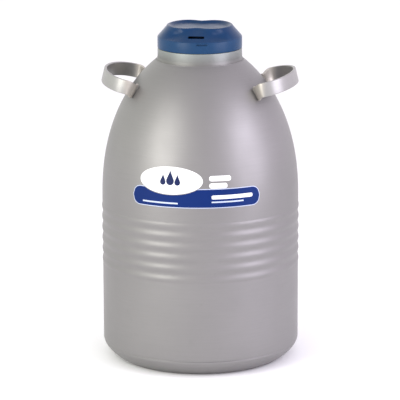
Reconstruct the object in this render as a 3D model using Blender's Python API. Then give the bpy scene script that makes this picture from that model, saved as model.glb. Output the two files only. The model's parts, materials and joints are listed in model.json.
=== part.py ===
"""Liquid nitrogen dewar: a vacuum-insulated flask with a ribbed aluminium shell and a lift-off cap.

The dewar stands on z = 0 and its neck is on the Z axis. The labels face -Y and the handles are on +X
and -X. Every length is in metres and every angle in degrees unless a name says otherwise.
"""

import math

import bmesh
import bpy
from mathutils import Vector, geometry

# ---------------------------------------------------------------- driving dimensions

GAP = 0.0003  # clearance between touching pieces
ROUND = 48  # sides of an outer turned piece
INNER_ROUND = 32  # sides of a turned piece inside the shell
CAP_ROUND = 60  # sides of the cap
SMALL_ROUND = 20  # sides of a small turned piece

BODY_RADIUS = 0.197
SHELL_WALL = 0.002
SEAM_Z = 0.0335  # lower edge of the wall, where it laps the bottom head
DOME_BASE_Z = 0.3249  # the wall starts to curve in here
DOME_RISE = 0.3163
DOME_HEIGHT_POWER = 2.25
DOME_RADIUS_POWER = 1.7276
DOME_TOP_Z = 0.6035  # the dome is cut off here for the collar
DOME_EDGE = 0.001  # this close to the wall the dome's slope is read a little further in
DOME_RINGS = 13
DOME_RING_SPREAD = 0.9  # below 1 moves the dome's rings of points up, where it curves most
LAP_TOP_Z = 0.0595  # up to here the wall is straight inside, so that it slips over the bottom head
LAP_STEP_Z = 0.0635

RIB_COUNT = 6
RIB_TOP_Z = 0.3082  # crest of the highest rib
RIB_PITCH = 0.0219
RIB_CREST = 0.0009  # above the wall radius
RIB_TROUGH = 0.0009  # below the wall radius

FOOT_RADIUS = 0.165  # outer edge of the flat ring that stands on the floor
FOOT_INNER_RADIUS = 0.150
BOTTOM_RECESS = 0.009
DISH = ((0.0, BOTTOM_RECESS), (0.110, 0.008), (0.138, 0.003))  # (radius, height) of the recessed underside
HEAD_RADIUS = 0.1953  # the bottom head just under the seam
HEAD_LIP_RADIUS = 0.1943  # the part of it that slips into the wall
HEAD_LIP_TOP_Z = 0.047
HEAD_FLANK_TOP_Z = 0.0295
FLANK_NEAR_FOOT = (0.170, 0.002)  # the two points that steer the flank's curve
FLANK_NEAR_SEAM = (0.1903, 0.0161)

COLLAR_BASE_RADIUS = 0.0862
COLLAR_TOP_RADIUS = 0.0839
COLLAR_FLARE = 0.006  # height of the flare at the collar's foot
COLLAR_EDGE = 0.001  # width of its chamfers
COLLAR_LEDGE_Z = 0.6275  # the cap's skirt stands just above this ledge
COLLAR_WALL = 0.003
SPIGOT_RADIUS = 0.0796
DECK_Z = 0.6335  # top face of the deck around the neck
DECK_THICKNESS = 0.003
DECK_HOLE_RADIUS = 0.0413

NECK_RADIUS = 0.032  # bore of the neck tube
NECK_WALL = 0.0015
NECK_BOTTOM_Z = 0.441
NECK_RING_INNER = 0.0338
NECK_RING_OUTER = 0.0410

VESSEL_RADIUS = 0.155
VESSEL_WALL = 0.002
VESSEL_GIRTH_Z = 0.262  # weld between the two halves
VESSEL_LOW_Z = 0.096  # the bottom dish starts here
VESSEL_HIGH_Z = 0.362  # the top dome starts here
VESSEL_DISH_DEPTH = 0.045
VESSEL_DOME_RISE = 0.085
VESSEL_NECK_RADIUS = 0.0406
FLANGE_Z = 0.4447  # underside of the lower neck ring's flange
FLANGE_TOP_Z = 0.4475

BLANKET_INNER = 0.004  # from the inner vessel to the blanket
BLANKET_OUTER = 0.022

CAP_RADIUS = 0.0842
CAP_WALL = 0.003
CAP_BOTTOM_Z = 0.628
CAP_SKIRT_TOP_Z = 0.650
CAP_TOP_Z = 0.6738
CAP_FLOOR_Z = 0.6684  # floor of the dished top
CAP_RIM_RADIUS = 0.0662
CAP_FLANK_TOP = 0.003  # the flank ends this far below the cap's top
CAP_FLANK_INSET = (0.0045, 0.0025)  # from the flank's outside to its inside: inwards, and down
CAP_ROOF_INSET = 0.012  # from the rim to the edge of the roof's flat underside
# the rolled rim, from the floor of the dished top out: (distance in from its edge, distance below the top)
CAP_RIM = ((0.015, 0.0054), (0.009, 0.0042), (0.006, 0.0012), (0.0035, 0.0), (0.001, 0.001))
CAP_TURN = 1.5  # the lock slot is this far round from -Y, towards +X
PULL_TURN = 10.0  # and so is the small slot in the skirt
GRIP_DEPTH = 0.019  # how far the front and back of the rim are drawn in
GRIP_SPREAD = 23.0
SCOOP_ANGLE = 36.0  # from the tab to the middle of a finger scoop
SCOOP_SPREAD = 14.0
SCOOP_POWER = 3.2
LOCK_SLOT = (0.032, 0.030, 0.0044)
LOCK_SLOT_Z = 0.6580
LOCK_SLOT_REACH = 0.068
PULL_SLOT = (0.021, 0.004, 0.0026)
PULL_SLOT_Z = 0.6454

LINER_Z = 0.6445
LINER_THICKNESS = 0.0015
LINER_RADIUS = 0.0800
PLUG_RADIUS = 0.0295
PLUG_BOTTOM_Z = 0.515
PLUG_EDGE = 0.003  # chamfer at its lower end
FOAM_RADII = (0.060, 0.026)  # of the cap's insulation, at its foot and at its top

PORT_AZIMUTH = 145.0
PORT_REACH = 0.060
PORT_STEM_OUTER = 0.010
PORT_STEM_BORE = 0.007
PORT_STEM_TOP_Z = 0.6380

HANDLE_WIDTH = 0.028
HANDLE_THICKNESS = 0.0055
HANDLE_REACH = 0.1940
HANDLE_HALF_SPREAD = 0.0865
HANDLE_ARC_START = 0.138
HANDLE_ARC_Z = 0.5603  # middle of the strap where its arc starts
HANDLE_TILT = 13.7
HANDLE_FOOT = (0.1190, 0.0690)  # middle of a foot's end, in plan
FOOT_TWIST = 0.9  # how far a foot's end turns to lie along the dome
CLEAR_OF_DOME = 0.9  # share of the body's radius beyond which the strap is well above the dome

LABEL_GAP = 0.0004
LABEL_THICKNESS = 0.0004
BAND_AZIMUTH = 4.7
BAND_Z = 0.3636
BAND_HALF_LENGTH = 0.1325
BAND_HALF_HEIGHT = 0.0175
BAND_CORNER = 0.0160
OVAL_AZIMUTH = -10.2
OVAL_Z = 0.3974
OVAL_HALF_LENGTH = 0.0660
OVAL_HALF_HEIGHT = 0.0268
OVAL_CLEARANCE = 0.0015


# ---------------------------------------------------------------- materials

def principled(name, colour, roughness, metallic):
    material = bpy.data.materials.new(name)
    material.use_nodes = True
    material.diffuse_color = (*colour, 1.0)
    shader = material.node_tree.nodes["Principled BSDF"]
    shader.inputs["Base Color"].default_value = (*colour, 1.0)
    shader.inputs["Roughness"].default_value = roughness
    shader.inputs["Metallic"].default_value = metallic
    return material


def make_materials():
    return {
        "satin_silver": principled("satin_silver", (0.42, 0.40, 0.39), 0.38, 0.6),
        "collar_paint": principled("collar_paint", (0.47, 0.52, 0.49), 0.45, 0.1),
        "blue_plastic": principled("blue_plastic", (0.035, 0.085, 0.19), 0.35, 0.0),
        "port_plastic": principled("port_plastic", (0.02, 0.05, 0.14), 0.5, 0.0),
        "handle_metal": principled("handle_metal", (0.38, 0.37, 0.37), 0.42, 0.9),
        "label_white": principled("label_white", (0.78, 0.80, 0.78), 0.5, 0.0),
        "label_blue": principled("label_blue", (0.022, 0.055, 0.25), 0.4, 0.0),
        "neck_laminate": principled("neck_laminate", (0.42, 0.50, 0.25), 0.5, 0.0),
        "bare_aluminium": principled("bare_aluminium", (0.62, 0.62, 0.63), 0.35, 1.0),
        "foil_blanket": principled("foil_blanket", (0.75, 0.75, 0.77), 0.25, 1.0),
        "white_foam": principled("white_foam", (0.80, 0.79, 0.74), 0.9, 0.0),
        "white_plastic": principled("white_plastic", (0.72, 0.72, 0.70), 0.45, 0.0),
        "sieve_beads": principled("sieve_beads", (0.55, 0.47, 0.36), 0.9, 0.0),
        "black_rubber": principled("black_rubber", (0.02, 0.02, 0.02), 0.7, 0.0),
    }


# ---------------------------------------------------------------- mesh helpers

def add_object(name, mesh_data, material):
    mesh = bpy.data.meshes.new(name)
    bmesh.ops.recalc_face_normals(mesh_data, faces=mesh_data.faces)
    mesh_data.to_mesh(mesh)
    mesh_data.free()
    mesh.materials.append(material)
    mesh.shade_smooth()
    mesh.set_sharp_from_angle(angle=math.radians(32))
    item = bpy.data.objects.new(name, mesh)
    bpy.context.collection.objects.link(item)
    return item


def turned(name, profile, material, closed=True, sides=ROUND):
    """A piece turned about Z. An open profile starts and ends on the axis."""
    shape = bmesh.new()
    points = [shape.verts.new((radius, 0.0, z)) for radius, z in profile]
    edges = [shape.edges.new(pair) for pair in zip(points, points[1:])]
    if closed:
        edges.append(shape.edges.new((points[-1], points[0])))
    bmesh.ops.spin(
        shape,
        geom=points + edges,
        axis=(0, 0, 1),
        cent=(0, 0, 0),
        angle=math.tau,
        steps=sides,
        use_merge=True,
    )
    bmesh.ops.remove_doubles(shape, verts=shape.verts, dist=1e-6)
    return add_object(name, shape, material)


def lofted(name, sections, material):
    """A solid through a row of closed sections with the same number of points, capped at both ends."""
    shape = bmesh.new()
    rows = [[shape.verts.new(point) for point in section] for section in sections]
    count = len(rows[0])
    for low, high in zip(rows, rows[1:]):
        for i in range(count):
            j = (i + 1) % count
            shape.faces.new((low[i], low[j], high[j], high[i]))
    shape.faces.new(rows[0])
    shape.faces.new(rows[-1])
    return add_object(name, shape, material)


def cut_with_box(target, size, location, turn_z):
    """Cuts a box-shaped opening with a Boolean whose cutter stays in the file as a guide."""
    shape = bmesh.new()
    bmesh.ops.create_cube(shape, size=1.0)
    bmesh.ops.scale(shape, vec=size, verts=shape.verts)
    cutter = add_object(f"{target.name}_cutter_{len(target.modifiers)}", shape, target.data.materials[0])
    cutter.location = location
    cutter.rotation_euler.z = math.radians(turn_z)
    cut_with(target, cutter)


def cut_with(target, cutter):
    cutter.hide_render = True
    cutter.display_type = "WIRE"
    modifier = target.modifiers.new(cutter.name, "BOOLEAN")
    modifier.operation = "DIFFERENCE"
    modifier.object = cutter


def steps(first, last, count):
    """Evenly spaced values from first to last, both included."""
    return [first + (last - first) * i / (count - 1) for i in range(count)]


def polar(azimuth, radius, z):
    """A point at this azimuth, counted from +X."""
    angle = math.radians(azimuth)
    return Vector((radius * math.cos(angle), radius * math.sin(angle), z))


# ---------------------------------------------------------------- outer shell

def dome_radius(z):
    height = max(0.0, (z - DOME_BASE_Z) / DOME_RISE)
    return BODY_RADIUS * (1 - height**DOME_HEIGHT_POWER) ** (1 / DOME_RADIUS_POWER)


def dome_height(radius):
    share = 1 - (radius / BODY_RADIUS) ** DOME_RADIUS_POWER
    return DOME_BASE_Z + DOME_RISE * share ** (1 / DOME_HEIGHT_POWER)


def dome_normal(radius):
    """Outward normal of the dome at this radius, as (radial part, vertical part)."""
    reach = 0.0005
    fall = (dome_height(radius - reach) - dome_height(radius + reach)) / (2 * reach)
    length = math.hypot(1.0, fall)
    return fall / length, 1.0 / length


def rib_profile():
    """Crests, troughs and the flanks between them, from the lowest rib's foot to the top rib's."""
    points = []
    lowest = RIB_TOP_Z - (RIB_COUNT - 1) * RIB_PITCH
    quarter = RIB_PITCH / 4
    for rib in range(RIB_COUNT):
        crest = lowest + rib * RIB_PITCH
        points.append((BODY_RADIUS, crest - quarter))
        points.append((BODY_RADIUS + RIB_CREST, crest))
        points.append((BODY_RADIUS, crest + quarter))
        if rib < RIB_COUNT - 1:
            points.append((BODY_RADIUS - RIB_TROUGH, crest + 2 * quarter))
    return points


def build_outer_shell(materials):
    outer = [(BODY_RADIUS, SEAM_Z)]
    outer += rib_profile()
    dome = []
    for turn in steps(0, 90, DOME_RINGS):
        share = math.sin(math.radians(turn)) ** DOME_RING_SPREAD
        z = DOME_BASE_Z + share * (DOME_TOP_Z - DOME_BASE_Z)
        dome.append((dome_radius(z), z))
    outer += dome
    inner = []
    behind_ribs = BODY_RADIUS - SHELL_WALL - RIB_TROUGH / 2
    for radius, z in dome:
        out, up = dome_normal(min(radius, BODY_RADIUS - DOME_EDGE))
        if z > DOME_BASE_Z:
            inner.append((radius - SHELL_WALL * out, z - SHELL_WALL * up))
    inner.append((behind_ribs, DOME_BASE_Z))
    inner.sort(key=lambda point: -point[1])
    inner.append((behind_ribs, LAP_STEP_Z))
    inner.append((BODY_RADIUS - SHELL_WALL, LAP_TOP_Z))
    inner.append((BODY_RADIUS - SHELL_WALL, SEAM_Z))
    turned("outer_shell", outer + inner, materials["satin_silver"])


def build_bottom_head(materials):
    flank = geometry.interpolate_bezier(
        Vector((FOOT_RADIUS, 0.0)),
        Vector(FLANK_NEAR_FOOT),
        Vector(FLANK_NEAR_SEAM),
        Vector((HEAD_RADIUS, HEAD_FLANK_TOP_Z)),
        9,
    )
    outer = [*DISH, (FOOT_INNER_RADIUS, 0.0)]
    outer += [(point.x, point.y) for point in flank]
    outer += [(HEAD_RADIUS, SEAM_Z - GAP), (HEAD_LIP_RADIUS, SEAM_Z - GAP / 2)]
    outer += [(HEAD_LIP_RADIUS, HEAD_LIP_TOP_Z)]
    inner_lip = HEAD_LIP_RADIUS - SHELL_WALL
    inner = [(inner_lip, HEAD_LIP_TOP_Z), (inner_lip, HEAD_FLANK_TOP_Z)]
    for first, last in zip(list(flank)[:0:-2], list(flank)[-2::-2]):
        along = (first - last).normalized()
        middle = (first + last) / 2
        inner.append((middle.x - SHELL_WALL * along.y, middle.y + SHELL_WALL * along.x))
    inner += [(FOOT_RADIUS - 0.001, SHELL_WALL), (FOOT_INNER_RADIUS + 0.001, SHELL_WALL)]
    inner += [(radius, height + SHELL_WALL) for radius, height in reversed(DISH)]
    turned("bottom_head", outer + inner, materials["satin_silver"], closed=False)


# ---------------------------------------------------------------- neck

def build_neck_collar(materials):
    base_z = DOME_TOP_Z + GAP
    under_deck = DECK_Z - DECK_THICKNESS
    profile = [
        (COLLAR_BASE_RADIUS, base_z),
        (COLLAR_TOP_RADIUS + GAP, base_z + COLLAR_FLARE),
        (COLLAR_TOP_RADIUS, COLLAR_LEDGE_Z - COLLAR_EDGE),
        (COLLAR_TOP_RADIUS - COLLAR_EDGE, COLLAR_LEDGE_Z),
        (SPIGOT_RADIUS, COLLAR_LEDGE_Z),
        (SPIGOT_RADIUS, DECK_Z - COLLAR_EDGE),
        (SPIGOT_RADIUS - COLLAR_EDGE, DECK_Z),
        (DECK_HOLE_RADIUS, DECK_Z),
        (DECK_HOLE_RADIUS, under_deck),
        (SPIGOT_RADIUS - COLLAR_WALL, under_deck),
        (SPIGOT_RADIUS - COLLAR_WALL, COLLAR_LEDGE_Z - COLLAR_WALL),
        (COLLAR_TOP_RADIUS - COLLAR_WALL, COLLAR_LEDGE_Z - COLLAR_WALL),
        (COLLAR_BASE_RADIUS - COLLAR_WALL, base_z),
    ]
    collar = turned("neck_collar", profile, materials["collar_paint"])
    drill = bmesh.new()
    bmesh.ops.create_cone(
        drill,
        cap_ends=True,
        segments=SMALL_ROUND,
        radius1=PORT_STEM_BORE,
        radius2=PORT_STEM_BORE,
        depth=4 * DECK_THICKNESS,
    )
    cutter = add_object("port_hole_cutter", drill, materials["collar_paint"])
    cutter.location = polar(PORT_AZIMUTH, PORT_REACH, DECK_Z)
    cut_with(collar, cutter)


def build_neck_tube(materials):
    outer = NECK_RADIUS + NECK_WALL
    top = DECK_Z - GAP
    profile = [(outer, NECK_BOTTOM_Z), (outer, top), (NECK_RADIUS, top), (NECK_RADIUS, NECK_BOTTOM_Z)]
    turned("neck_tube", profile, materials["neck_laminate"], sides=INNER_ROUND)


def build_neck_rings(materials):
    ring_height = 0.011
    upper_bottom = DECK_Z - ring_height
    upper = [
        (NECK_RING_INNER, upper_bottom),
        (NECK_RING_OUTER, upper_bottom),
        (NECK_RING_OUTER, DECK_Z),
        (NECK_RING_INNER, DECK_Z),
    ]
    turned("upper_neck_ring", upper, materials["bare_aluminium"], sides=INNER_ROUND)
    root_z = FLANGE_Z - 0.0045
    flange_radius = VESSEL_NECK_RADIUS + 0.0065
    sleeve_radius = NECK_RING_INNER + 0.004
    sleeve_top = FLANGE_TOP_Z + 0.010
    lower = [
        (NECK_RING_INNER, root_z),
        (VESSEL_NECK_RADIUS - GAP, root_z),
        (VESSEL_NECK_RADIUS - GAP, FLANGE_Z),
        (flange_radius, FLANGE_Z),
        (flange_radius, FLANGE_TOP_Z),
        (sleeve_radius, FLANGE_TOP_Z),
        (sleeve_radius, sleeve_top),
        (NECK_RING_INNER, sleeve_top),
    ]
    turned("lower_neck_ring", lower, materials["bare_aluminium"], sides=INNER_ROUND)


# ---------------------------------------------------------------- inner vessel and vacuum space

def ellipse_arc(radius, height, centre_z, first, last, count):
    """Points on a quarter ellipse; 0 degrees is at the equator, 90 on the axis."""
    points = []
    for turn in steps(first, last, count):
        angle = math.radians(turn)
        points.append((max(0.0, radius * math.cos(angle)), centre_z + height * math.sin(angle)))
    return points


def neck_angle(radius, hole_radius):
    return math.degrees(math.acos(hole_radius / radius))


def build_inner_vessel(materials):
    inside = VESSEL_RADIUS - VESSEL_WALL
    depth = VESSEL_DISH_DEPTH
    bottom = ellipse_arc(inside, VESSEL_WALL - depth, VESSEL_LOW_Z, 90, 0, 7)
    bottom += [(inside, VESSEL_GIRTH_Z), (VESSEL_RADIUS, VESSEL_GIRTH_Z)]
    bottom += ellipse_arc(VESSEL_RADIUS, -depth, VESSEL_LOW_Z, 0, 90, 7)
    turned("inner_vessel_bottom", bottom, materials["bare_aluminium"], closed=False, sides=INNER_ROUND)

    rise = VESSEL_DOME_RISE
    outer_end = neck_angle(VESSEL_RADIUS, VESSEL_NECK_RADIUS)
    inner_end = neck_angle(inside, VESSEL_NECK_RADIUS)
    top = [(VESSEL_RADIUS, VESSEL_GIRTH_Z + GAP)]
    top += ellipse_arc(VESSEL_RADIUS, rise, VESSEL_HIGH_Z, 0, outer_end, 7)
    top += ellipse_arc(inside, rise - VESSEL_WALL, VESSEL_HIGH_Z, inner_end, 0, 7)
    top += [(inside, VESSEL_GIRTH_Z + GAP)]
    turned("inner_vessel_top", top, materials["bare_aluminium"], sides=INNER_ROUND)


def build_insulation(materials):
    foil = materials["foil_blanket"]
    near = VESSEL_RADIUS + BLANKET_INNER
    far = VESSEL_RADIUS + BLANKET_OUTER
    hole = 0.084
    top = ellipse_arc(far, VESSEL_DOME_RISE + BLANKET_OUTER, VESSEL_HIGH_Z, 0, neck_angle(far, hole), 6)
    top += ellipse_arc(near, VESSEL_DOME_RISE + BLANKET_INNER, VESSEL_HIGH_Z, neck_angle(near, hole), 0, 6)
    turned("insulation_top", top, foil, sides=INNER_ROUND)
    low = VESSEL_LOW_Z
    high = VESSEL_HIGH_Z - GAP
    turned("insulation_side", [(far, low), (far, high), (near, high), (near, low)], foil, sides=INNER_ROUND)
    start = VESSEL_LOW_Z - GAP
    bottom = ellipse_arc(near, -VESSEL_DISH_DEPTH - BLANKET_INNER, start, 90, 0, 6)
    bottom += ellipse_arc(far, -VESSEL_DISH_DEPTH - BLANKET_OUTER, start, 0, 90, 6)
    turned("insulation_bottom", bottom, foil, closed=False, sides=INNER_ROUND)


def build_adsorbent(materials):
    wall = 0.0012
    inner = 0.039
    outer = 0.078
    low = FLANGE_TOP_Z + GAP
    high = low + 0.018
    tray = [
        (inner, high),
        (inner, low),
        (outer, low),
        (outer, high),
        (outer - wall, high),
        (outer - wall, low + wall),
        (inner + wall, low + wall),
        (inner + wall, high),
    ]
    turned("adsorbent_tray", tray, materials["bare_aluminium"], sides=INNER_ROUND)
    near = inner + wall + GAP
    far = outer - wall - GAP
    bed_low = low + wall + GAP
    bed_high = high - 0.002
    bed = [(far, bed_low), (far, bed_high), (near, bed_high), (near, bed_low)]
    turned("adsorbent_bed", bed, materials["sieve_beads"], sides=INNER_ROUND)


def build_getter(materials):
    floor = BOTTOM_RECESS + SHELL_WALL + GAP
    radius = 0.014
    height = 0.006
    profile = [(0.0, floor), (radius, floor), (radius, floor + height), (0.0, floor + height)]
    turned("getter_capsule", profile, materials["bare_aluminium"], closed=False, sides=SMALL_ROUND)


# ---------------------------------------------------------------- evacuation port, under the cap

def build_port(materials):
    """Stem, relief plug, O-ring and cover, all on one vertical axis through the deck."""
    place = polar(PORT_AZIMUTH, PORT_REACH, 0.0)
    deck = DECK_Z + GAP
    stem_top = PORT_STEM_TOP_Z
    stem = [
        (PORT_STEM_OUTER, deck),
        (PORT_STEM_OUTER, stem_top),
        (PORT_STEM_BORE, stem_top),
        (PORT_STEM_BORE, deck),
    ]
    pieces = [turned("port_stem", stem, materials["bare_aluminium"], sides=SMALL_ROUND)]

    head_low = stem_top + GAP
    head_high = head_low + 0.0014
    shank = 0.0061
    groove = 0.0052
    groove_low = deck + 0.0009
    groove_high = groove_low + 0.0022
    plug = [
        (0.0, deck),
        (shank, deck),
        (shank, groove_low),
        (groove, groove_low),
        (groove, groove_high),
        (shank, groove_high),
        (shank, head_low),
        (PORT_STEM_OUTER - 0.0005, head_low),
        (PORT_STEM_OUTER - 0.0005, head_high),
        (0.0, head_high),
    ]
    pieces.append(turned("port_plug", plug, materials["port_plastic"], closed=False, sides=SMALL_ROUND))

    ring_middle = 0.0061
    ring_half = 0.0006
    ring_z = (groove_low + groove_high) / 2
    ring = []
    for turn in range(0, 360, 45):
        angle = math.radians(turn)
        ring.append((ring_middle + ring_half * math.cos(angle), ring_z + ring_half * math.sin(angle)))
    pieces.append(turned("port_oring", ring, materials["black_rubber"], sides=SMALL_ROUND))

    cover_radius = 0.0128
    cover_wall = 0.0012
    cover_top = LINER_Z - 0.0005
    cover = [
        (0.0, cover_top),
        (cover_radius - 0.001, cover_top),
        (cover_radius, cover_top - 0.001),
        (cover_radius, deck),
        (cover_radius - cover_wall, deck),
        (cover_radius - cover_wall, cover_top - cover_wall),
        (0.0, cover_top - cover_wall),
    ]
    pieces.append(turned("port_cover", cover, materials["white_plastic"], closed=False, sides=SMALL_ROUND))
    for piece in pieces:
        piece.location = place


# ---------------------------------------------------------------- cap

def angle_from_grip(azimuth):
    """Degrees round from the nearer of the two grips, which are at the tab and opposite it."""
    turn = (azimuth + 90.0 - CAP_TURN) % 180.0
    return min(turn, 180.0 - turn)


def cap_rim_radius(azimuth):
    return CAP_RIM_RADIUS - GRIP_DEPTH * math.exp(-((angle_from_grip(azimuth) / GRIP_SPREAD) ** 2))


def cap_flank_radius(azimuth, share):
    """Radius of the sloping flank; share is 0 at the skirt's top edge and 1 at the rim."""
    scoop = math.exp(-(((angle_from_grip(azimuth) - SCOOP_ANGLE) / SCOOP_SPREAD) ** 2))
    hollow = 1 - (1 - share) ** SCOOP_POWER
    inward = share + (hollow - share) * scoop
    return CAP_RADIUS + (cap_rim_radius(azimuth) - CAP_RADIUS) * inward


def cap_profile(azimuth):
    """The cap's section at this azimuth, from the middle of its top round to the middle of its roof."""
    rim = cap_rim_radius(azimuth)
    rim_low = CAP_TOP_Z - CAP_FLANK_TOP
    points = [(0.0, CAP_FLOOR_Z)]
    points += [(rim - inwards, CAP_TOP_Z - down) for inwards, down in CAP_RIM]
    flank = []
    for share in steps(1.0, 0.0, 6):
        z = CAP_SKIRT_TOP_Z + share * (rim_low - CAP_SKIRT_TOP_Z)
        flank.append((cap_flank_radius(azimuth, share), z))
    points += flank
    points += [(CAP_RADIUS, CAP_BOTTOM_Z), (CAP_RADIUS - CAP_WALL, CAP_BOTTOM_Z)]
    points += [(CAP_RADIUS - CAP_WALL, CAP_SKIRT_TOP_Z - CAP_WALL)]
    for radius, z in flank[-2:0:-1]:
        points.append((radius - CAP_FLANK_INSET[0], z - CAP_FLANK_INSET[1]))
    points += [(rim - CAP_ROOF_INSET, CAP_FLOOR_Z - CAP_WALL), (0.0, CAP_FLOOR_Z - CAP_WALL)]
    return points


def build_cap_cover(materials):
    shape = bmesh.new()
    sides = CAP_ROUND
    columns = []
    for i in range(sides):
        azimuth = 360.0 * i / sides - 90.0 + CAP_TURN
        columns.append([shape.verts.new(polar(azimuth, radius, z)) for radius, z in cap_profile(azimuth)])
    for this, following in zip(columns, columns[1:] + columns[:1]):
        for i in range(len(this) - 1):
            shape.faces.new((this[i], this[i + 1], following[i + 1], following[i]))
    bmesh.ops.remove_doubles(shape, verts=shape.verts, dist=1e-6)
    cover = add_object("cap_cover", shape, materials["blue_plastic"])
    front = CAP_TURN - 90.0
    cut_with_box(cover, LOCK_SLOT, polar(front, LOCK_SLOT_REACH, LOCK_SLOT_Z), CAP_TURN)
    cut_with_box(cover, PULL_SLOT, polar(PULL_TURN - 90.0, CAP_RADIUS, PULL_SLOT_Z), PULL_TURN)


def build_cap_insides(materials):
    liner_top = LINER_Z + LINER_THICKNESS
    liner = [(0.0, LINER_Z), (LINER_RADIUS, LINER_Z), (LINER_RADIUS, liner_top), (0.0, liner_top)]
    turned("cap_liner", liner, materials["white_plastic"], closed=False, sides=INNER_ROUND)
    foam_low = liner_top + GAP
    foam_high = CAP_FLOOR_Z - CAP_WALL - GAP
    foam = [(0.0, foam_low), (FOAM_RADII[0], foam_low), (FOAM_RADII[1], foam_high), (0.0, foam_high)]
    turned("cap_insulation", foam, materials["white_foam"], closed=False, sides=INNER_ROUND)
    plug_top = LINER_Z - GAP
    plug = [
        (0.0, PLUG_BOTTOM_Z),
        (PLUG_RADIUS - PLUG_EDGE, PLUG_BOTTOM_Z),
        (PLUG_RADIUS, PLUG_BOTTOM_Z + PLUG_EDGE),
        (PLUG_RADIUS, plug_top),
        (0.0, plug_top),
    ]
    turned("neck_plug", plug, materials["white_foam"], closed=False, sides=INNER_ROUND)


# ---------------------------------------------------------------- handles

def dome_frame(x, y):
    """The dome point at this place in plan, its outward normal and its uphill direction."""
    radius = math.hypot(x, y)
    out, up = dome_normal(radius)
    radial = Vector((x / radius, y / radius, 0.0))
    normal = radial * out + Vector((0, 0, up))
    uphill = Vector((0, 0, out)) - radial * up
    return Vector((x, y, dome_height(radius))), normal, uphill


def handle_plan():
    """Half of the strap's middle line in plan, from a foot's end to the outermost point.

    Each entry is (x, y, share), where share is 1 at the foot's end, lying on the dome, and 0 on the loop.
    """
    foot_x, foot_y = HANDLE_FOOT
    half = []
    for share in steps(1.0, 0.2, 5):
        x = HANDLE_ARC_START + (foot_x - HANDLE_ARC_START) * share
        y = HANDLE_HALF_SPREAD + (foot_y - HANDLE_HALF_SPREAD) * share**2
        half.append((x, -y, share))
    reach = HANDLE_REACH - HANDLE_THICKNESS / 2 - HANDLE_ARC_START
    for turn in steps(-90, 0, 9):
        angle = math.radians(turn)
        x = HANDLE_ARC_START + reach * math.cos(angle)
        half.append((x, HANDLE_HALF_SPREAD * math.sin(angle), 0.0))
    return half


def handle_stations():
    """Middle and width direction of the strap at each station, for the handle on +X."""
    tilt = math.radians(HANDLE_TILT)
    loop_up = Vector((-math.sin(tilt), 0.0, math.cos(tilt)))
    stations = []
    for x, y, share in handle_plan():
        loop_z = HANDLE_ARC_Z + (x - HANDLE_ARC_START) * math.tan(tilt)
        middle = Vector((x, y, loop_z))
        up = loop_up
        if share > 0:
            on_dome, normal, uphill = dome_frame(x, y)
            middle = middle.lerp(on_dome + normal * (HANDLE_THICKNESS / 2 + GAP), share**4)
            up = loop_up.lerp(uphill, FOOT_TWIST * share).normalized()
        stations.append((middle, up))
    mirrored = []
    for middle, up in stations[-2::-1]:
        mirrored.append((Vector((middle.x, -middle.y, middle.z)), Vector((up.x, -up.y, up.z))))
    return stations + mirrored


def strap_section(middle, up, across):
    """Eight points round a flat bar with eased edges."""
    half_width = HANDLE_WIDTH / 2
    half_thickness = HANDLE_THICKNESS / 2
    ease = 0.001
    corners = []
    for width_sign, thick_sign in ((1, 1), (-1, 1), (-1, -1), (1, -1)):
        near_end = (width_sign * (half_width - ease), thick_sign * half_thickness)
        near_side = (width_sign * half_width, thick_sign * (half_thickness - ease))
        pair = [near_end, near_side] if width_sign != thick_sign else [near_side, near_end]
        corners += pair
    return [middle + up * width + across * thick for width, thick in corners]


def lifted_clear(section):
    """The section moved off the dome along its normal, if a corner would reach into the dome."""
    deepest = 0.0
    push = Vector((0, 0, 0))
    for point in section:
        if math.hypot(point.x, point.y) > CLEAR_OF_DOME * BODY_RADIUS:
            continue
        surface, normal, _ = dome_frame(point.x, point.y)
        short = 2 * GAP - (point - surface).dot(normal)
        if short > deepest:
            deepest = short
            push = normal * short
    return [point + push for point in section]


def build_handles(materials):
    stations = handle_stations()
    middles = [middle for middle, _ in stations]
    for name, side in (("handle_right", 1), ("handle_left", -1)):
        sections = []
        for i, (middle, up) in enumerate(stations):
            before = middles[max(i - 1, 0)]
            after = middles[min(i + 1, len(middles) - 1)]
            across = up.cross(after - before).normalized()
            section = lifted_clear(strap_section(middle, up, across))
            sections.append([(side * point.x, side * point.y, point.z) for point in section])
        lofted(name, sections, materials["handle_metal"])


# ---------------------------------------------------------------- labels

def label_point(azimuth, along, z, lift):
    """A point lifted off the body; along runs round it to the right of the label's middle."""
    radius = dome_radius(z)
    out, up = dome_normal(min(radius, BODY_RADIUS - 0.0005))
    turn = azimuth - 90.0 + math.degrees(along / BODY_RADIUS)
    return polar(turn, radius + lift * out, z + lift * up)


def build_label(name, azimuth, columns, material, rows=4):
    """A thin sheet; columns are (distance along, lower z, upper z)."""
    sections = []
    for along, low, high in columns:
        heights = steps(low, high, rows)
        outer = [label_point(azimuth, along, z, LABEL_GAP + LABEL_THICKNESS) for z in heights]
        inner = [label_point(azimuth, along, z, LABEL_GAP) for z in reversed(heights)]
        sections.append(outer + inner)
    lofted(name, sections, material)


def oval_half_height(along):
    return OVAL_HALF_HEIGHT * math.sqrt(max(0.0, 1 - (along / OVAL_HALF_LENGTH) ** 2))


def band_top(along):
    """Upper edge of the band, which dips to follow the oval's lower edge."""
    flat = BAND_Z + BAND_HALF_HEIGHT
    offset = math.radians(BAND_AZIMUTH - OVAL_AZIMUTH) * BODY_RADIUS
    under_oval = OVAL_Z - oval_half_height(along + offset) - OVAL_CLEARANCE
    return min(flat, under_oval)


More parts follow.
